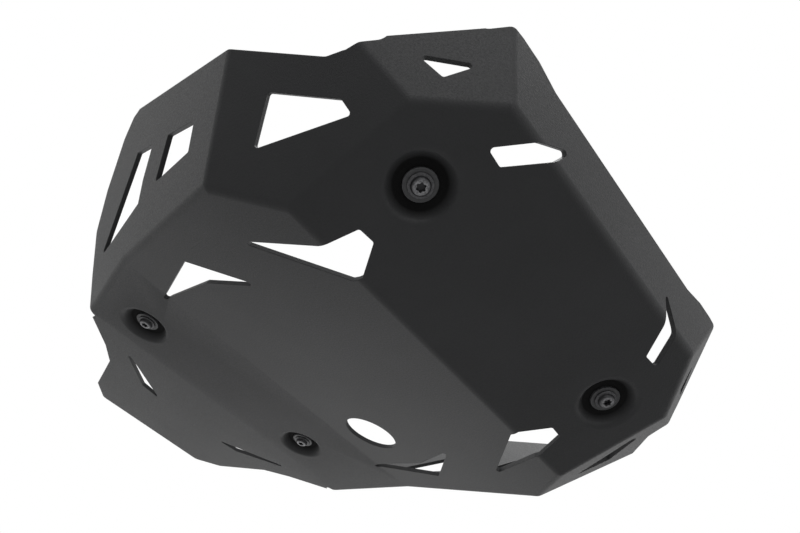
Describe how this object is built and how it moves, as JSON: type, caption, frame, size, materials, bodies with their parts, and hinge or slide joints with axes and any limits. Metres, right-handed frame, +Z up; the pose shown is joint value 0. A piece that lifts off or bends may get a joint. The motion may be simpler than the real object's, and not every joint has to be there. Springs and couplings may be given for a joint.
{
  "type": "motorcycle engine guard",
  "caption": "Black folded sheet-metal engine guard with flared side walls, a front ramp and nose, slanted cut-outs, a drain hole and four screws in pressed dishes.",
  "frame": {"origin": "middle of the flat floor panel's lower face, on the centre line", "axes": "+X towards the front wheel, +Y to the rider's left, +Z up towards the engine"},
  "size_m": [0.5265, 0.4318, 0.1269],
  "materials": {
    "coated_sheet": "fine-textured satin powder coat over aluminium sheet",
    "washer_black": "satin black coat",
    "screw_black": "black oxide with a bright rubbed crown"
  },
  "bodies": {
    "root": {"plate": "coated_sheet", "washer_front_right": "washer_black", "washer_front_left": "washer_black", "washer_rear_right": "washer_black", "washer_rear_left": "washer_black", "screw_front_right": "screw_black", "screw_front_left": "screw_black", "screw_rear_right": "screw_black", "screw_rear_left": "screw_black"}
  },
  "joints": []
}
